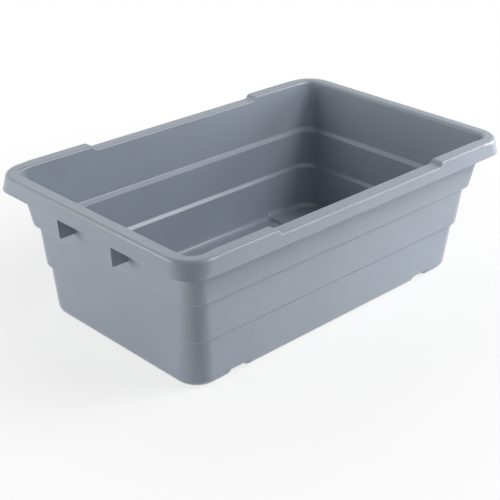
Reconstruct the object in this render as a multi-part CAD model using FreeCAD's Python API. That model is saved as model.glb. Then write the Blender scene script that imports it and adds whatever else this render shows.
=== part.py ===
"""Bus tub: an open, one-piece moulded tub that nests and cross-stacks.

The frame has +X along the tub, +Y across it and +Z up, with the origin at the
middle of the base. Depths are measured down from the top of the end rims.
"""
import FreeCAD, Part
import math
import os

Vector = FreeCAD.Vector

# Overall size
length = 638.0
width = 402.0
height = 214.0
wall = 3.0

# Rim: a flat land with a down-turned skirt that flares a little
rim_end_land = 22.0
rim_side_land = 21.0
skirt_drop = 24.0
skirt_flare = 2.0
skirt_corner = 34.0
ridge_corner = 42.0
land_corner = 18.0
rim_inner_round = 3.5
rim_outer_round = 3.0

# Walls: three tapered bands with a ledge between each pair
band_a_end_run = 12.0
band_a_side_run = 9.0
lower_draft = 3.5
ledge_1_depth = 75.5
ledge_1_run = 6.0
ledge_2_depth = 136.0
ledge_2_run = 4.2
ledge_fall = 5.0
corner_growth = 0.065
ledge_round = 3.0
base_round = 13.0

# Saddles: the middle of both long rims is lower, and takes the base of a crossed tub
saddle_depth = 6.3
saddle_blend = 11.0
saddle_clearance = 2.0

# Nest stops: two plates under each end rim
stop_spacing = 110.0
stop_plate = 3.0
stop_bottom = 53.0
stop_recess = 0.5
stop_lean = 2.5
stop_corner_round = 1.5

# Grooves across the base, which sit over the long rims of a crossed tub
groove_depth = 5.0
groove_flank = 8.0
groove_clearance = 2.0

# Room by which cutting solids pass the surfaces that they cut
overrun = 8.0

# How near an edge lies to the height or place that it is picked by
near = 0.01

half_length = length / 2
half_width = width / 2
draft_slope = math.tan(math.radians(lower_draft))


def ring(size):
    """Edges of a level's rounded rectangle (half X, half Y, corner radius, z): arc, line and so on."""
    x, y, r, z = size
    diagonal = r * math.sqrt(0.5)
    corners = []
    for sx, sy in ((1, 1), (-1, 1), (-1, -1), (1, -1)):
        centre = Vector(sx * (x - r), sy * (y - r), z)
        ends = [centre + Vector(sx * r, 0, 0), centre + Vector(0, sy * r, 0)]
        if sx != sy:
            ends.reverse()
        middle = centre + Vector(sx * diagonal, sy * diagonal, 0)
        corners.append((ends[0], middle, ends[1]))
    edges = []
    for index, (first, middle, last) in enumerate(corners):
        edges.append(Part.Arc(first, middle, last).toShape())
        edges.append(Part.makeLine(last, corners[(index + 1) % 4][0]))
    return edges


def wall_face(low, high):
    """Face between an edge of one level and the same edge of the next."""
    if low.Curve.TypeId == "Part::GeomLine":
        a, b = [v.Point for v in low.Vertexes]
        c, d = [v.Point for v in high.Vertexes]
        return Part.Face(Part.makePolygon([a, b, d, c, a]))
    return Part.makeRuledSurface(low, high)


def stack(levels):
    """Solid through a row of levels, with straight walls between them."""
    rings = [ring(size) for size in levels]
    faces = [Part.Face(Part.Wire(rings[0])), Part.Face(Part.Wire(rings[-1]))]
    for low_ring, high_ring in zip(rings, rings[1:]):
        faces += [wall_face(low, high) for low, high in zip(low_ring, high_ring)]
    shell = Part.makeShell(faces)
    shell.sewShape()
    solid = Part.makeSolid(shell)
    if solid.Volume < 0:
        solid.reverse()
    return solid


def edges_at(shape, z):
    """Edges of a shape that lie in the horizontal plane at z."""
    found = []
    for edge in shape.Edges:
        box = edge.BoundBox
        if abs(box.ZMin - z) < near and abs(box.ZMax - z) < near:
            found.append(edge)
    return found


def corner_drop(run):
    """Height between the inner and the outer corner line of a ledge."""
    return wall * math.tan(math.atan2(run, ledge_fall) / 2)


def wall_levels(offset, floor_z):
    """Levels of the wall faces: an offset of 0 gives the inside, and wall the outside."""
    share = offset / wall
    top_1 = ledge_1_depth + share * corner_drop(ledge_1_run)
    top_2 = ledge_2_depth + share * corner_drop(ledge_2_run)
    depth_and_step = (
        (0.0, 0.0),
        (top_1, None),
        (top_1 + ledge_fall, ledge_1_run),
        (top_2, 0.0),
        (top_2 + ledge_fall, ledge_2_run),
        (height - floor_z, 0.0),
    )
    end = rim_end_land
    side = rim_side_land
    before = 0.0
    levels = []
    for depth, step in depth_and_step:
        if step is None:
            end += band_a_end_run
            side += band_a_side_run
        elif step:
            end += step
            side += step
        else:
            end += (depth - before) * draft_slope
            side += (depth - before) * draft_slope
        corner = land_corner + corner_growth * depth + offset
        size = (half_length - end + offset, half_width - side + offset, corner, height - depth)
        levels.append(size)
        before = depth
    return levels


def base_half_width():
    """Half width of the base, across the long outer walls."""
    return wall_levels(wall, 0.0)[-1][1]


def outer_body():
    """Outside of the walls and base, solid, with rounded ledges and base edge."""
    levels = wall_levels(wall, 0.0)
    body = stack(levels)
    for index in (1, 3):
        body = body.makeFillet(ledge_round, edges_at(body, levels[index][3]))
    return body.makeFillet(base_round, edges_at(body, 0.0))


def cavity():
    """Inside of the tub as a solid, with soft upper ledge corners and floor edge."""
    levels = wall_levels(0.0, wall)
    hollow = stack(levels)
    for index in (1, 3):
        hollow = hollow.makeFillet(ledge_round, edges_at(hollow, levels[index][3]))
    return hollow.makeFillet(base_round - wall, edges_at(hollow, wall))


def rim_block(inset, top):
    """Block of the rim outline, drawn in by inset, from the skirt's lower edge to top."""
    low = (half_length - inset, half_width - inset, skirt_corner - inset, height - skirt_drop)
    inset_top = inset + skirt_flare
    high = (half_length - inset_top, half_width - inset_top, ridge_corner - inset, top)
    return stack([low, high])


def blend_arcs(x0, z0, x1, z1):
    """Two equal tangent arcs that join level runs at (x0, z0) and (x1, z1)."""
    run = x1 - x0
    rise = z1 - z0
    radius = (run * run + rise * rise) / (4 * abs(rise))
    sweep = math.asin(abs(run) / (2 * radius)) / 2
    reach = radius * math.sin(sweep)
    sagitta = radius - radius * math.cos(sweep)
    side = math.copysign(1, run)
    up = math.copysign(1, rise)
    middle = Vector((x0 + x1) / 2, 0, (z0 + z1) / 2)
    first_way = Vector(x0 + side * reach, 0, z0 + up * sagitta)
    second_way = Vector(x1 - side * reach, 0, z1 - up * sagitta)
    first = Part.Arc(Vector(x0, 0, z0), first_way, middle).toShape()
    second = Part.Arc(middle, second_way, Vector(x1, 0, z1)).toShape()
    return [first, second]


def across(outline):
    """Prism of an XZ outline that runs across the whole width."""
    reach = half_width + overrun
    outline.translate(Vector(0, -reach, 0))
    return Part.Face(outline).extrude(Vector(0, 2 * reach, 0))


def saddles(grow):
    """Cut that lowers both long rims, grown by a normal offset."""
    low = height - saddle_depth
    inner = base_half_width() + saddle_clearance
    outer = inner + saddle_blend
    top = height + overrun
    edges = [Part.makeLine(Vector(-inner, 0, low), Vector(inner, 0, low))]
    edges += blend_arcs(inner, low, outer, height)
    edges.append(Part.makeLine(Vector(outer, 0, height), Vector(outer, 0, top)))
    edges.append(Part.makeLine(Vector(outer, 0, top), Vector(-outer, 0, top)))
    edges.append(Part.makeLine(Vector(-outer, 0, top), Vector(-outer, 0, height)))
    edges += blend_arcs(-outer, height, -inner, low)
    outline = Part.Wire(Part.sortEdges(edges)[0])
    if grow:
        outline = outline.makeOffset2D(grow)
    return across(outline)


def groove(side, grow):
    """Cut across the base at one end, grown by a normal offset."""
    centre = side * (half_width - rim_side_land / 2)
    flat = rim_side_land / 2 + groove_clearance
    foot = flat + groove_flank
    edges = [Part.makeLine(Vector(centre - flat, 0, groove_depth), Vector(centre + flat, 0, groove_depth))]
    edges += blend_arcs(centre + flat, groove_depth, centre + foot, 0)
    edges.append(Part.makeLine(Vector(centre + foot, 0, 0), Vector(centre + foot, 0, -overrun)))
    edges.append(Part.makeLine(Vector(centre + foot, 0, -overrun), Vector(centre - foot, 0, -overrun)))
    edges.append(Part.makeLine(Vector(centre - foot, 0, -overrun), Vector(centre - foot, 0, 0)))
    edges += blend_arcs(centre - foot, 0, centre - flat, groove_depth)
    outline = Part.Wire(Part.sortEdges(edges)[0])
    if grow:
        outline = outline.makeOffset2D(grow)
    return across(outline)


def nest_stop(end, side):
    """Plate under an end rim that stops a nested tub, at one end and one side."""
    bottom = height - stop_bottom
    under_land = height - wall
    skirt_edge = half_length - stop_recess
    toe_x = skirt_edge - stop_lean
    root_top = half_length - rim_end_land + wall / 2
    root_bottom = root_top - band_a_end_run * (stop_bottom - wall) / ledge_1_depth
    points = [
        Vector(root_top, 0, under_land),
        Vector(half_length - skirt_flare - wall / 2, 0, under_land),
        Vector(skirt_edge, 0, height - skirt_drop),
        Vector(toe_x, 0, bottom),
        Vector(root_bottom, 0, bottom),
    ]
    plate = Part.Face(Part.makePolygon(points + points[:1]))
    plate.translate(Vector(0, side * stop_spacing / 2 - stop_plate / 2, 0))
    stop = plate.extrude(Vector(0, stop_plate, 0))
    toes = [e for e in edges_at(stop, bottom) if abs(e.CenterOfMass.x - toe_x) < near]
    stop = stop.makeFillet(stop_corner_round, toes)
    if end < 0:
        stop = stop.mirror(Vector(0, 0, 0), Vector(1, 0, 0))
    return stop


def land_edges(shape, inner):
    """Edges along the inner or the outer side of the rim's land, saddles included."""
    found = []
    lowest = height - saddle_depth - near
    for edge in shape.Edges:
        if edge.BoundBox.ZMin < lowest:
            continue
        point = edge.valueAt((edge.FirstParameter + edge.LastParameter) / 2)
        inset = min(half_length - abs(point.x), half_width - abs(point.y))
        if (inset > rim_side_land / 2) == inner:
            found.append(edge)
    return found


def rim_and_walls(body, hollow):
    """Rim and walls with rounded land edges, the rim still filled behind its skirt."""
    block = rim_block(0.0, height).fuse(body).removeSplitter()
    block = block.cut([saddles(0.0), groove(1, 0.0), groove(-1, 0.0), hollow])
    block = block.makeFillet(rim_outer_round, land_edges(block, False))
    return block.makeFillet(rim_inner_round, land_edges(block, True))


def make_tub():
    """The whole tub as one moulded solid."""
    body = outer_body()
    hollow = cavity().cut([groove(1, wall), groove(-1, wall)])
    behind_skirt = rim_block(wall, height - wall).cut([saddles(wall), body])
    tub = rim_and_walls(body, hollow).cut(behind_skirt)
    stops = [nest_stop(end, side) for end in (1, -1) for side in (1, -1)]
    return tub.fuse(stops).removeSplitter()


def main():
    os.makedirs("parts", exist_ok=True)
    make_tub().exportStep("parts/tub.step")


main()
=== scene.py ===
"""Looks of the bus tub: its moulded shell, its nest stops, the plastic and the studio around it."""
import math

import bmesh
import bpy
from bpy.props import FloatProperty, FloatVectorProperty, PointerProperty
from mathutils import Matrix, Vector


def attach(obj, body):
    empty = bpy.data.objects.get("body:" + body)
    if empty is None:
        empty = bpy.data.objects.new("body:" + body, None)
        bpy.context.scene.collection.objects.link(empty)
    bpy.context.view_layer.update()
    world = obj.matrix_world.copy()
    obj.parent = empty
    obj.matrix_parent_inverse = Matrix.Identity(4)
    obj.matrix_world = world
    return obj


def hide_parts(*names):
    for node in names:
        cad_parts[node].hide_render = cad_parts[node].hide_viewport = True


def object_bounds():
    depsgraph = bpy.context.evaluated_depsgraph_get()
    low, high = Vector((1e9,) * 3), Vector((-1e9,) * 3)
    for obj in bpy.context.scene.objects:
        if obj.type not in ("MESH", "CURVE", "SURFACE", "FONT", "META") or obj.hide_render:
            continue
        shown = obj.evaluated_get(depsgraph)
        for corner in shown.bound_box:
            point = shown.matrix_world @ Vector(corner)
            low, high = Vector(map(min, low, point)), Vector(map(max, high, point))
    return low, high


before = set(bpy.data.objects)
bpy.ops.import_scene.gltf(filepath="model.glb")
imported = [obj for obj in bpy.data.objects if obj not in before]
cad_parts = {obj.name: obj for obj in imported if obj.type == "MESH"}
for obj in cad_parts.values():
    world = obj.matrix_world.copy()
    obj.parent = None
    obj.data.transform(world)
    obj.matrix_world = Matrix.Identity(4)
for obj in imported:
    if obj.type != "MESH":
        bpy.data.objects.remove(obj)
CAD_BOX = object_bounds()
HALF_LENGTH, HALF_WIDTH, HEIGHT = CAD_BOX[1]

# Rings of the shell, counted from the floor up the inside, over the rim and down the outside
INNER_LAND_RING = 6
OUTER_LAND_RING = 7
FIRST_UNDER_RING = 8

# Segments round a corner, and edge loops along each stretch of the shell that bends
CORNER_STEPS = 20
SADDLE_FLAT_CUTS = 5
SADDLE_END_CUTS = 18
FLANK_CUTS = 9
FADE_CUTS = 5
STOP_CUTS = 4

# Smallest distances between edge loops and between points, in metres
CUT_GAP = 0.0005
CUT_SNAP = 1e-5
NEAR = 1e-6

# Plastic: its change of colour and of shine, the height of its grain in metres, and its index of refraction
CLOUDING = 0.035
SHINIER = 0.05
DULLER = 0.07
GRAIN_HEIGHT = 0.0004
PLASTIC_INDEX = 1.5

# Studio: floor and soft boxes, in metres, with the share of plain white that the camera sees near the tub
# and the distances from the middle over which it grows to all white
FLOOR_HALF = 6.0
FLOOR_GAP = 0.0002
FLOOR_ROUGHNESS = 0.9
WHITE_STARTS = 0.35
WHITE_FULL = 0.75
WHITE_NEAR = 0.75
LAMP_SIZE = 1.0
LAMP_DISTANCE = 2.0

# Camera, placed and turned as for the photograph
CAMERA_PLACE = Vector((-1.0856, -1.0723, 0.8147))
CAMERA_AHEAD = Vector((0.63150, 0.63544, -0.44433))
CAMERA_ROLL = math.radians(0.826)
CAMERA_REACH = 50.0
CAMERA_FOCAL_PIXELS = 1145.05
PICTURE_PIXELS = 500
SENSOR_MM = 36.0

bl_info = {
    "name": "Bus tub",
    "version": (1, 0, 0),
    "blender": (4, 5, 0),
    "location": "3D View > Sidebar > Bus Tub",
    "description": "Builds a nesting, cross-stacking bus tub of moulded plastic in a small studio",
    "category": "Add Mesh",
}


def length_value(name, description, millimetres):
    """A length property, given in millimetres and kept in metres."""
    return FloatProperty(name=name, description=description, default=millimetres / 1000, unit="LENGTH")


def lamp_power(name, description, watts):
    """A lamp's power property, in watts."""
    return FloatProperty(name=name, description=description, default=watts, unit="POWER")


class TubSizes(bpy.types.PropertyGroup):
    """Sizes of the moulded shell, measured on its inner and upper surface."""

    wall: length_value("Wall", "Even thickness of the moulding", 3.0)
    end_land: length_value("End land", "Width of the rim over each end", 22.0)
    side_land: length_value("Side land", "Width of the rim over each long side", 21.0)
    skirt_drop: length_value("Skirt drop", "Depth of the rim's down-turned skirt", 24.0)
    skirt_flare: length_value("Skirt flare", "How far the skirt spreads towards its lower edge", 2.0)
    skirt_corner: length_value("Skirt corner", "Corner radius of the skirt's lower edge", 34.0)
    ridge_corner: length_value("Ridge corner", "Corner radius of the rim's outer edge", 42.0)
    land_corner: length_value("Land corner", "Corner radius of the rim's inner edge", 18.0)
    end_inner_round: length_value("End inner round", "Rounding of an end rim's inner edge", 5.0)
    side_inner_round: length_value("Side inner round", "Rounding of a long rim's inner edge", 3.0)
    end_outer_round: length_value("End outer round", "Rounding of an end rim's outer edge", 5.0)
    side_outer_round: length_value("Side outer round", "Rounding of a long rim's outer edge", 2.3)
    rim_fade: length_value("Rim fade", "Length over which a long rim's roundings open out to an end's", 14.0)
    fade_margin: length_value("Fade margin", "Straight length left between that and the corner", 2.0)
    lip_round: length_value("Lip round", "Rounding of the skirt's lower edge", 0.6)
    end_run: length_value("End run", "How far the top band slopes in at an end", 12.0)
    side_run: length_value("Side run", "How far the top band slopes in at a long side", 9.0)
    upper_ledge: length_value("Upper ledge", "Depth of the upper ledge below the rim", 75.5)
    upper_ledge_run: length_value("Upper ledge run", "Width of the upper ledge", 6.0)
    lower_ledge: length_value("Lower ledge", "Depth of the lower ledge below the rim", 136.0)
    lower_ledge_run: length_value("Lower ledge run", "Width of the lower ledge", 4.2)
    ledge_fall: length_value("Ledge fall", "Height of each sloped ledge", 5.0)
    ledge_round: length_value("Ledge round", "Soft rounding above each ledge", 2.2)
    ledge_nose: length_value("Ledge nose", "Tight rounding of each ledge's lower edge", 0.9)
    floor_round: length_value("Floor round", "Rounding between floor and wall", 10.0)
    saddle_inner: length_value("Saddle inner depth", "Drop of a long rim's middle at its inner edge", 5.9)
    saddle_outer: length_value("Saddle outer depth", "Drop of a long rim's middle at its outer edge", 7.0)
    saddle_half: length_value("Saddle half length", "Half of the lowered length", 157.0)
    saddle_blend: length_value("Saddle blend", "Length of the slope at each end of a saddle", 10.5)
    saddle_shift: length_value("Saddle shift", "How far the two saddles are moved apart lengthwise", 3.0)
    groove_depth: length_value("Groove depth", "Depth of the grooves across the base", 5.0)
    groove_flat: length_value("Groove half width", "Half width of a groove's flat top", 12.5)
    groove_flank: length_value("Groove flank", "Width of each side of a groove", 8.0)
    groove_fade: length_value("Groove fade", "Height over which a groove fades into the wall", 25.0)
    stop_spacing: length_value("Stop spacing", "Distance between the two nest stops at an end", 110.0)
    stop_plate: length_value("Stop plate", "Thickness of a nest stop", 3.0)
    stop_bottom: length_value("Stop bottom", "Depth of a nest stop below the rim", 53.0)
    stop_recess: length_value("Stop recess", "How far a nest stop lies behind the skirt's face", 0.5)
    stop_lean: length_value("Stop lean", "How far a nest stop's edge leans in", 2.5)
    stop_round: length_value("Stop round", "Rounding of a nest stop's free corner", 1.5)
    stop_edge_round: length_value("Stop edge round", "Rounding along a nest stop's edges", 0.8)
    stop_sink: FloatProperty(
        name="Stop sink", description="Depth of a nest stop's top, as a share of the wall", default=0.8,
        subtype="FACTOR",
    )
    draft: FloatProperty(
        name="Draft", description="Slope of the two lower bands", default=math.radians(3.5), subtype="ANGLE"
    )
    corner_growth: FloatProperty(
        name="Corner growth", description="Gain in corner radius for each metre of depth", default=0.065
    )


class PlasticFinish(bpy.types.PropertyGroup):
    """Colour and surface of the moulded plastic."""

    colour: FloatVectorProperty(
        name="Colour", description="Plain colour of the plastic", subtype="COLOR", size=3,
        default=(0.316, 0.355, 0.414), min=0.0, max=1.0,
    )
    roughness: FloatProperty(
        name="Roughness", description="Spread of the plastic's soft shine", default=0.30, subtype="FACTOR"
    )
    grain: FloatProperty(
        name="Grain", description="Strength of the mould's fine texture", default=0.07, subtype="FACTOR"
    )


class StudioSettings(bpy.types.PropertyGroup):
    """Floor, lamps and camera."""

    floor_colour: FloatVectorProperty(
        name="Floor colour", description="Colour of the pale floor", subtype="COLOR", size=3,
        default=(0.92, 0.92, 0.92), min=0.0, max=1.0,
    )
    right_side: lamp_power("Right side box", "Power of the soft box low on the right", 26.0)
    right_high: lamp_power("Right high box", "Power of the soft box high on the right", 27.0)
    left_side: lamp_power("Left side box", "Power of the soft box low on the left", 19.0)
    left_high: lamp_power("Left high box", "Power of the soft box high on the left", 3.5)
    behind: lamp_power("Back box", "Power of the soft box behind the tub", 5.0)
    fill: FloatProperty(name="Fill", description="Strength of the even light from all round", default=0.0)


def tub_levels(sizes, offset):
    """Half X, half Y, corner radius and height of the wall's rings, from the rim down.

    An offset of 0 gives the inside, and one of the wall's thickness the outside.
    """
    slope = math.tan(sizes.draft)
    share = offset / sizes.wall
    upper_turn = math.atan2(sizes.upper_ledge_run, sizes.ledge_fall)
    lower_turn = math.atan2(sizes.lower_ledge_run, sizes.ledge_fall)
    upper = sizes.upper_ledge + offset * math.tan(upper_turn / 2)
    lower = sizes.lower_ledge + offset * math.tan(lower_turn / 2)
    floor = HEIGHT - sizes.wall * (1 - share)
    start = sizes.wall * share
    end = sizes.end_land
    side = sizes.side_land
    steps = (
        (start, start * sizes.end_run / sizes.upper_ledge, start * sizes.side_run / sizes.upper_ledge),
        (upper, sizes.end_run, sizes.side_run),
        (upper + sizes.ledge_fall, sizes.upper_ledge_run, sizes.upper_ledge_run),
        (lower, None, None),
        (lower + sizes.ledge_fall, sizes.lower_ledge_run, sizes.lower_ledge_run),
        (floor, None, None),
    )
    before = None
    levels = []
    for depth, end_step, side_step in steps:
        if before is None:
            at_end, at_side = end + end_step, side + side_step
        else:
            end += (depth - before) * slope if end_step is None else end_step
            side += (depth - before) * slope if side_step is None else side_step
            at_end, at_side = end, side
        corner = sizes.land_corner + sizes.corner_growth * depth + offset
        levels.append((HALF_LENGTH - at_end + offset, HALF_WIDTH - at_side + offset, corner, HEIGHT - depth))
        before = depth
    return levels


def fit_ring(verts, old, new):
    """Moves the vertices of one rounded rectangle onto another."""
    for vert in verts:
        x, y = abs(vert.co.x), abs(vert.co.y)
        old_x, old_y = old[0] - old[2], old[1] - old[2]
        new_x, new_y = new[0] - new[2], new[1] - new[2]
        out_x = max(x - old_x, 0.0) * new[2] / old[2]
        out_y = max(y - old_y, 0.0) * new[2] / old[2]
        x = min(x / old_x, 1.0) * new_x + out_x
        y = min(y / old_y, 1.0) * new_y + out_y
        vert.co = Vector((math.copysign(x, vert.co.x), math.copysign(y, vert.co.y), new[3]))


def round_loop(bm, edges, radius, turn, segments):
    """Rounds an edge loop where the surface turns by that angle."""
    result = bmesh.ops.bevel(
        bm, geom=edges, offset=radius * math.tan(turn / 2), offset_type="OFFSET", segments=segments,
        profile=0.5, affect="EDGES", material=-1,
    )
    return result["verts"]


def thin_out(places):
    """Rising places that are far enough apart to cut at."""
    kept = []
    for place in sorted(places):
        if not kept or place - kept[-1] >= CUT_GAP:
            kept.append(place)
    return kept


def cut_across(bm, axis, places, lowest=-1.0):
    """Adds an edge loop at each place along an axis, on both sides of the middle, above a height."""
    normal = Vector((1, 0, 0)) if axis == "X" else Vector((0, 1, 0))
    for place in sorted({side * place for place in places for side in (1, -1)}):
        faces = [face for face in bm.faces if min(vert.co.z for vert in face.verts) > lowest]
        edges = dict.fromkeys(edge for face in faces for edge in face.edges)
        verts = dict.fromkeys(vert for face in faces for vert in face.verts)
        geom = [*verts, *edges, *faces]
        bmesh.ops.bisect_plane(bm, geom=geom, dist=CUT_SNAP, plane_co=normal * place, plane_no=normal)


def spread(first, last, count):
    """Evenly spaced values, both ends included."""
    return [first + (last - first) * index / (count - 1) for index in range(count)]


def double_arc(place, run, rise, crest, foot):
    """Height along a slope made of a crest arc and a foot arc, falling from rise to 0 over run."""
    angle = 2 * math.atan2(rise, run)
    crest_run = crest * math.sin(angle)
    if place <= 0:
        return rise
    if place >= run:
        return 0.0
    if place < crest_run:
        return rise - crest + math.sqrt(crest * crest - place * place)
    rest = run - place
    return foot - math.sqrt(foot * foot - rest * rest)


def tighten_round(verts, edge_y, share, straight, fade):
    """Draws a rounding of the land in towards its edge line along both long sides."""
    for vert in verts:
        weight = min(max((straight - abs(vert.co.x)) / fade, 0.0), 1.0)
        factor = 1 - (1 - share) * weight
        line = Vector((vert.co.x, math.copysign(edge_y, vert.co.y), HEIGHT))
        vert.co = line + (vert.co - line) * factor


def lower_saddles(bm, sizes):
    """Lowers the middle of both long rims, sliding the land's edges along wall and skirt."""
    inner = HALF_WIDTH - sizes.side_land
    ridge = HALF_WIDTH - sizes.skirt_flare
    wall_slope = sizes.side_run / sizes.upper_ledge
    skirt_slope = sizes.skirt_flare / sizes.skirt_drop
    for vert in bm.verts:
        if vert.co.z < HEIGHT - sizes.skirt_drop / 2 or abs(vert.co.y) < inner / 2:
            continue
        side = math.copysign(1, vert.co.y)
        shift = side * sizes.saddle_shift
        beyond = abs(vert.co.x - shift) - sizes.saddle_half
        across = min(max((abs(vert.co.y) - inner) / (ridge - inner), 0.0), 1.0)
        depth = sizes.saddle_inner + (sizes.saddle_outer - sizes.saddle_inner) * across
        radius = (sizes.saddle_blend**2 + depth**2) / (4 * depth)
        drop = double_arc(beyond, sizes.saddle_blend, depth, radius, radius)
        vert.co.z -= drop
        vert.co.y += side * drop * (across * skirt_slope - (1 - across) * wall_slope)


def groove_centre(sizes):
    """Distance of each base groove from the middle: that of a crossed tub's long rim."""
    return HALF_WIDTH - sizes.side_land / 2


def raise_grooves(bm, outside, sizes):
    """Presses a groove up into the base at each end, which is a ridge on the floor."""
    middle = (sizes.groove_flank**2 + sizes.groove_depth**2) / (4 * sizes.groove_depth)
    for vert in bm.verts:
        skin = 0.0 if vert[outside] else sizes.wall
        share = 1 - (vert.co.z - skin) / sizes.groove_fade
        if share <= 0:
            continue
        away = abs(abs(vert.co.x) - groove_centre(sizes)) - sizes.groove_flat
        crest, foot = middle + skin, middle - skin
        vert.co.z += share * double_arc(away, sizes.groove_flank, sizes.groove_depth, crest, foot)


def finish_object(bm, name):
    """Puts a bmesh into a new object in the scene."""
    mesh = bpy.data.meshes.new(name)
    bm.to_mesh(mesh)
    bm.free()
    piece = bpy.data.objects.new(name, mesh)
    bpy.context.scene.collection.objects.link(piece)
    mesh.shade_smooth()
    return piece


def shell_rings(sizes):
    """Rings of the shell from the floor up the inside, over the rim and down the outside to the base."""
    lip_z = HEIGHT - sizes.skirt_drop
    under_z = HEIGHT - sizes.wall
    flare = sizes.skirt_flare * (1 - sizes.wall / sizes.skirt_drop)
    ridge = (HALF_LENGTH - sizes.skirt_flare, HALF_WIDTH - sizes.skirt_flare, sizes.ridge_corner, HEIGHT)
    lip = (HALF_LENGTH, HALF_WIDTH, sizes.skirt_corner, lip_z)
    lip_inner = (lip[0] - sizes.wall, lip[1] - sizes.wall, lip[2] - sizes.wall, lip_z)
    under = (lip_inner[0] - flare, lip_inner[1] - flare, ridge[2] - sizes.wall, under_z)
    return tub_levels(sizes, 0.0)[::-1] + [ridge, lip, lip_inner, under] + tub_levels(sizes, sizes.wall)


def shell_roundings(sizes):
    """Radius, turn and segments of the rounding along each ring, in the same order."""
    upright = math.radians(90) - sizes.draft
    upper_turn = math.atan2(sizes.upper_ledge_run, sizes.ledge_fall)
    lower_turn = math.atan2(sizes.lower_ledge_run, sizes.ledge_fall)
    return (
        (sizes.floor_round, upright, 10),
        (sizes.ledge_nose, lower_turn, 3),
        (sizes.ledge_round, lower_turn, 5),
        (sizes.ledge_nose, upper_turn, 3),
        (sizes.ledge_round, upper_turn, 5),
        (sizes.end_inner_round, upright, 8),
        (sizes.end_outer_round, upright, 8),
        (sizes.lip_round, upright, 3),
        (sizes.lip_round, upright, 3),
        (sizes.lip_round, upright, 2),
        (sizes.lip_round, upright, 2),
        (sizes.ledge_round, upper_turn, 5),
        (sizes.ledge_nose, upper_turn, 2),
        (sizes.ledge_round, lower_turn, 5),
        (sizes.ledge_nose, lower_turn, 2),
        (sizes.floor_round + sizes.wall, upright, 10),
    )


def make_shell(sizes):
    """The tub's moulded shell, closed and 3 mm thick all round."""
    rings = shell_rings(sizes)
    bm = bmesh.new()
    mark = bm.edges.layers.int.new("ring")
    outside = bm.verts.layers.int.new("outside")
    first = rings[0]
    bmesh.ops.create_grid(bm, x_segments=1, y_segments=1, size=1.0)
    bmesh.ops.scale(bm, vec=(first[0], first[1], 1), verts=bm.verts[:])
    bmesh.ops.translate(bm, vec=(0, 0, first[3]), verts=bm.verts[:])
    bmesh.ops.bevel(
        bm, geom=bm.verts[:], offset=first[2], offset_type="OFFSET", segments=CORNER_STEPS,
        profile=0.5, affect="VERTICES", material=-1,
    )
    loop = bm.edges[:]
    for number, (old, new) in enumerate(zip(rings, rings[1:]), 1):
        for edge in loop:
            edge[mark] = number
        grown = bmesh.ops.extrude_edge_only(bm, edges=loop)["geom"]
        verts = [v for v in grown if isinstance(v, bmesh.types.BMVert)]
        fit_ring(verts, old, new)
        for vert in verts:
            vert[outside] = int(number >= FIRST_UNDER_RING)
        loop = [e for e in grown if isinstance(e, bmesh.types.BMEdge) and len(e.link_faces) == 1]
    for edge in loop:
        edge[mark] = len(rings)
    bmesh.ops.contextual_create(bm, geom=loop)

    centre = groove_centre(sizes)
    foot = sizes.groove_flat + sizes.groove_flank
    ends = sizes.saddle_half - sizes.saddle_shift
    straight = HALF_LENGTH - sizes.skirt_flare - sizes.ridge_corner
    places = spread(0, ends, SADDLE_FLAT_CUTS)
    places += spread(ends, ends + 2 * sizes.saddle_shift + sizes.saddle_blend, SADDLE_END_CUTS)
    places += spread(centre - foot, centre - sizes.groove_flat, FLANK_CUTS)
    places += spread(centre + sizes.groove_flat, centre + foot, FLANK_CUTS)
    cut_across(bm, "X", thin_out(places))
    fade_end = straight - sizes.fade_margin
    fade_places = spread(fade_end - sizes.rim_fade, fade_end, FADE_CUTS)
    cut_across(bm, "X", fade_places, HEIGHT - 2 * sizes.skirt_drop)
    cut_across(bm, "Y", thin_out(spread(0, sizes.stop_spacing, STOP_CUTS)))

    for number, (radius, turn, segments) in enumerate(shell_roundings(sizes), 1):
        edges = [edge for edge in bm.edges if edge[mark] == number]
        verts = round_loop(bm, edges, radius, turn, segments)
        if number == INNER_LAND_RING:
            share = sizes.side_inner_round / sizes.end_inner_round
            tighten_round(verts, rings[number - 1][1], share, straight, sizes.rim_fade)
        if number == OUTER_LAND_RING:
            share = sizes.side_outer_round / sizes.end_outer_round
            tighten_round(verts, rings[number - 1][1], share, straight, sizes.rim_fade)
    lower_saddles(bm, sizes)
    raise_grooves(bm, outside, sizes)

    bmesh.ops.recalc_face_normals(bm, faces=bm.faces[:])
    shell = finish_object(bm, "tub_shell")
    weigh = shell.modifiers.new("even_shading", "WEIGHTED_NORMAL")
    weigh.keep_sharp = False
    return shell


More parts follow.
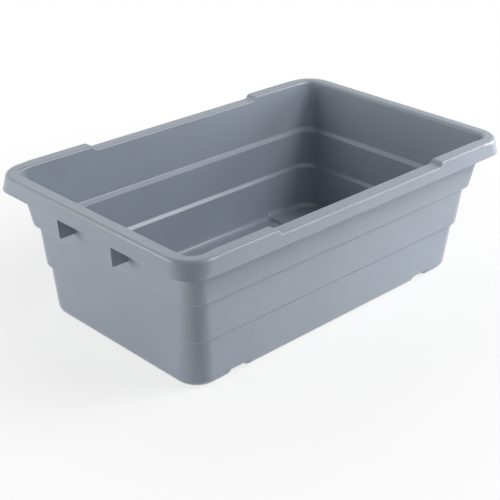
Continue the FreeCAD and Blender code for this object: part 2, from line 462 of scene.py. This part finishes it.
def make_nest_stops(sizes):
    """The two upright plates under each end rim."""
    bm = bmesh.new()
    bottom = HEIGHT - sizes.stop_bottom
    under_land = HEIGHT - sizes.wall * sizes.stop_sink
    edge_x = HALF_LENGTH - sizes.stop_recess
    root_top = HALF_LENGTH - sizes.end_land + sizes.wall / 2
    root_bottom = root_top - sizes.end_run * (sizes.stop_bottom - sizes.wall) / sizes.upper_ledge
    outline = (
        (root_top, under_land),
        (HALF_LENGTH - sizes.skirt_flare - sizes.wall / 2, under_land),
        (edge_x, HEIGHT - sizes.skirt_drop),
        (edge_x - sizes.stop_lean, bottom),
        (root_bottom, bottom),
    )
    face = bm.faces.new([bm.verts.new((x, -sizes.stop_plate / 2, z)) for x, z in outline])
    toe = face.verts[3]
    bmesh.ops.bevel(
        bm, geom=[toe], offset=sizes.stop_round, offset_type="OFFSET", segments=4,
        profile=0.5, affect="VERTICES", material=-1,
    )
    grown = bmesh.ops.extrude_face_region(bm, geom=bm.faces[:])["geom"]
    moved = [v for v in grown if isinstance(v, bmesh.types.BMVert)]
    bmesh.ops.translate(bm, vec=(0, sizes.stop_plate, 0), verts=moved)
    bmesh.ops.recalc_face_normals(bm, faces=bm.faces[:])
    long_edges = [e for e in bm.edges if abs(e.verts[0].co.y - e.verts[1].co.y) < NEAR]
    bmesh.ops.bevel(
        bm, geom=long_edges, offset=sizes.stop_edge_round, offset_type="OFFSET", segments=3,
        profile=0.5, affect="EDGES", material=-1,
    )
    bmesh.ops.translate(bm, vec=(0, sizes.stop_spacing / 2, 0), verts=bm.verts[:])
    bmesh.ops.mirror(bm, geom=bm.verts[:] + bm.edges[:] + bm.faces[:], axis="Y", merge_dist=0.0)
    bmesh.ops.mirror(bm, geom=bm.verts[:] + bm.edges[:] + bm.faces[:], axis="X", merge_dist=0.0)
    bmesh.ops.recalc_face_normals(bm, faces=bm.faces[:])
    return finish_object(bm, "nest_stops")


def new_material(name):
    """A material that has only a Principled shader and its output, with its nodes and links."""
    material = bpy.data.materials.new(name)
    material.use_nodes = True
    nodes = material.node_tree.nodes
    return material, nodes, material.node_tree.links, nodes["Principled BSDF"]


def noise(nodes, links, source, scale, detail):
    """A noise texture at a scale, on the coordinates given."""
    texture = nodes.new("ShaderNodeTexNoise")
    texture.inputs["Scale"].default_value = scale
    texture.inputs["Detail"].default_value = detail
    links.new(source, texture.inputs["Vector"])
    return texture


def moulded_plastic(finish):
    """Grey moulded plastic with a soft sheen, faint clouding and a fine mould texture."""
    if "moulded_plastic" in bpy.data.materials:
        return bpy.data.materials["moulded_plastic"]
    material, nodes, links, shader = new_material("moulded_plastic")
    place = nodes.new("ShaderNodeTexCoord").outputs["Object"]
    cloud = noise(nodes, links, place, scale=7.0, detail=3.0)
    tint = nodes.new("ShaderNodeValToRGB")
    colour = Vector(finish.colour)
    shades = ((0.3, 1 - CLOUDING), (0.7, 1 + CLOUDING))
    for element, (position, share) in zip(tint.color_ramp.elements, shades):
        element.position = position
        element.color = (*(colour * share), 1)
    links.new(cloud.outputs["Fac"], tint.inputs["Fac"])
    links.new(tint.outputs["Color"], shader.inputs["Base Color"])

    rub = noise(nodes, links, place, scale=40.0, detail=4.0)
    sheen_range = nodes.new("ShaderNodeMapRange")
    sheen_range.inputs["To Min"].default_value = finish.roughness - SHINIER
    sheen_range.inputs["To Max"].default_value = finish.roughness + DULLER
    links.new(rub.outputs["Fac"], sheen_range.inputs["Value"])
    links.new(sheen_range.outputs["Result"], shader.inputs["Roughness"])

    fine = noise(nodes, links, place, scale=900.0, detail=2.0)
    grain = nodes.new("ShaderNodeBump")
    grain.inputs["Strength"].default_value = finish.grain
    grain.inputs["Distance"].default_value = GRAIN_HEIGHT
    links.new(fine.outputs["Fac"], grain.inputs["Height"])
    links.new(grain.outputs["Normal"], shader.inputs["Normal"])
    shader.inputs["IOR"].default_value = PLASTIC_INDEX
    return material


class BUSTUB_OT_shell(bpy.types.Operator):
    """Model the tub's one-piece moulded shell"""

    bl_idname = "bustub.shell"
    bl_label = "Moulded Shell"

    def execute(self, context):
        shell = make_shell(context.scene.tub_sizes)
        shell.data.materials.append(moulded_plastic(context.scene.plastic_finish))
        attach(shell, "root")
        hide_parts("tub")
        return {"FINISHED"}


class BUSTUB_OT_nest_stops(bpy.types.Operator):
    """Model the nest stops under both end rims"""

    bl_idname = "bustub.nest_stops"
    bl_label = "Nest Stops"

    def execute(self, context):
        stops = make_nest_stops(context.scene.tub_sizes)
        stops.data.materials.append(moulded_plastic(context.scene.plastic_finish))
        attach(stops, "root")
        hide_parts("tub")
        return {"FINISHED"}


def add_lamp(name, power, around, up):
    """A square soft box that faces the tub, at angles in degrees round it and up from the floor."""
    lamp = bpy.data.lights.new(name, "AREA")
    lamp.shape = "SQUARE"
    lamp.size = LAMP_SIZE
    lamp.energy = power
    holder = bpy.data.objects.new(name, lamp)
    bpy.context.scene.collection.objects.link(holder)
    turn = Matrix.Rotation(math.radians(around), 3, "Z")
    tilt = Matrix.Rotation(math.radians(-up), 3, "Y")
    away = turn @ tilt @ Vector((1, 0, 0))
    holder.location = Vector((0, 0, HEIGHT / 2)) + away * LAMP_DISTANCE
    holder.rotation_euler = (-away).to_track_quat("-Z", "Y").to_euler()


def seen_rays(nodes, links):
    """1 for rays seen straight, in a reflection or through glass, and 0 for those that light a surface."""
    path = nodes.new("ShaderNodeLightPath")
    mirrored = nodes.new("ShaderNodeMath")
    mirrored.operation = "MAXIMUM"
    links.new(path.outputs["Is Glossy Ray"], mirrored.inputs[0])
    links.new(path.outputs["Is Transmission Ray"], mirrored.inputs[1])
    either = nodes.new("ShaderNodeMath")
    either.operation = "MAXIMUM"
    links.new(path.outputs["Is Camera Ray"], either.inputs[0])
    links.new(mirrored.outputs["Value"], either.inputs[1])
    return either.outputs["Value"]


def add_world(fill):
    """Even light from all round, seen as plain white by the camera and in reflections."""
    world = bpy.data.worlds.new("studio")
    bpy.context.scene.world = world
    world.use_nodes = True
    nodes, links = world.node_tree.nodes, world.node_tree.links
    background = nodes["Background"]
    background.inputs["Color"].default_value = (1, 1, 1, 1)
    level = nodes.new("ShaderNodeMapRange")
    level.inputs["To Min"].default_value = fill
    level.inputs["To Max"].default_value = 1.0
    links.new(seen_rays(nodes, links), level.inputs["Value"])
    links.new(level.outputs["Result"], background.inputs["Strength"])


def add_floor(colour):
    """A wide pale floor that keeps the tub's shadow and turns plain white away from it."""
    bm = bmesh.new()
    bmesh.ops.create_grid(bm, x_segments=1, y_segments=1, size=FLOOR_HALF)
    bmesh.ops.translate(bm, vec=(0, 0, -FLOOR_GAP), verts=bm.verts[:])
    floor = finish_object(bm, "floor")
    material, nodes, links, shader = new_material("floor")
    shader.inputs["Base Color"].default_value = (*colour, 1)
    shader.inputs["Roughness"].default_value = FLOOR_ROUGHNESS
    white = nodes.new("ShaderNodeEmission")
    away = nodes.new("ShaderNodeVectorMath")
    away.operation = "LENGTH"
    links.new(nodes.new("ShaderNodeTexCoord").outputs["Object"], away.inputs[0])
    share = nodes.new("ShaderNodeMapRange")
    share.inputs["From Min"].default_value = WHITE_STARTS
    share.inputs["From Max"].default_value = WHITE_FULL
    share.inputs["To Min"].default_value = WHITE_NEAR
    links.new(away.outputs["Value"], share.inputs["Value"])
    seen = nodes.new("ShaderNodeMath")
    seen.operation = "MULTIPLY"
    links.new(share.outputs["Result"], seen.inputs[0])
    links.new(seen_rays(nodes, links), seen.inputs[1])
    blend = nodes.new("ShaderNodeMixShader")
    links.new(seen.outputs["Value"], blend.inputs["Fac"])
    links.new(shader.outputs["BSDF"], blend.inputs[1])
    links.new(white.outputs["Emission"], blend.inputs[2])
    links.new(blend.outputs["Shader"], nodes["Material Output"].inputs["Surface"])
    floor.data.materials.append(material)


def add_camera():
    """The camera at the photograph's viewpoint."""
    camera = bpy.data.cameras.new("camera")
    camera.sensor_width = SENSOR_MM
    camera.lens = SENSOR_MM * CAMERA_FOCAL_PIXELS / PICTURE_PIXELS
    camera.clip_end = CAMERA_REACH
    holder = bpy.data.objects.new("camera", camera)
    bpy.context.scene.collection.objects.link(holder)
    ahead = CAMERA_AHEAD.normalized()
    right = ahead.cross(Vector((0, 0, 1))).normalized()
    up = right.cross(ahead)
    turned_right = right * math.cos(CAMERA_ROLL) + up * math.sin(CAMERA_ROLL)
    turned_up = up * math.cos(CAMERA_ROLL) - right * math.sin(CAMERA_ROLL)
    turn = Matrix((turned_right, turned_up, -ahead)).transposed()
    holder.matrix_world = Matrix.Translation(CAMERA_PLACE) @ turn.to_4x4()
    bpy.context.scene.camera = holder


class BUSTUB_OT_studio(bpy.types.Operator):
    """Set up the floor, the lamps, the white surround and the camera"""

    bl_idname = "bustub.studio"
    bl_label = "Studio"

    def execute(self, context):
        studio = context.scene.studio_settings
        context.scene.view_settings.view_transform = "Standard"
        add_floor(studio.floor_colour)
        add_world(studio.fill)
        add_lamp("right_side_box", studio.right_side, around=335, up=11)
        add_lamp("right_high_box", studio.right_high, around=308, up=42)
        add_lamp("left_side_box", studio.left_side, around=154, up=11)
        add_lamp("left_high_box", studio.left_high, around=135, up=42)
        add_lamp("back_box", studio.behind, around=75, up=45)
        add_camera()
        return {"FINISHED"}


class BUSTUB_PT_panel(bpy.types.Panel):
    """Sidebar panel with the tub's sizes, finish and pieces"""

    bl_label = "Bus Tub"
    bl_idname = "BUSTUB_PT_panel"
    bl_space_type = "VIEW_3D"
    bl_region_type = "UI"
    bl_category = "Bus Tub"

    def draw(self, context):
        layout = self.layout
        for group in (context.scene.tub_sizes, context.scene.plastic_finish, context.scene.studio_settings):
            box = layout.box()
            for name in group.__annotations__:
                box.prop(group, name)
        for operator in OPERATORS:
            layout.operator(operator.bl_idname)


GROUPS = (TubSizes, PlasticFinish, StudioSettings)
OPERATORS = (BUSTUB_OT_shell, BUSTUB_OT_nest_stops, BUSTUB_OT_studio)


def register():
    """Registers the add-on's classes and its settings on the scene."""
    for item in GROUPS + OPERATORS + (BUSTUB_PT_panel,):
        bpy.utils.register_class(item)
    bpy.types.Scene.tub_sizes = PointerProperty(type=TubSizes)
    bpy.types.Scene.plastic_finish = PointerProperty(type=PlasticFinish)
    bpy.types.Scene.studio_settings = PointerProperty(type=StudioSettings)


def unregister():
    """Takes the settings and classes away again."""
    del bpy.types.Scene.tub_sizes
    del bpy.types.Scene.plastic_finish
    del bpy.types.Scene.studio_settings
    for item in reversed(GROUPS + OPERATORS + (BUSTUB_PT_panel,)):
        bpy.utils.unregister_class(item)


def main():
    """Builds the tub and its studio."""
    register()
    bpy.ops.bustub.shell()
    bpy.ops.bustub.nest_stops()
    bpy.ops.bustub.studio()


if __name__ == "__main__":
    main()
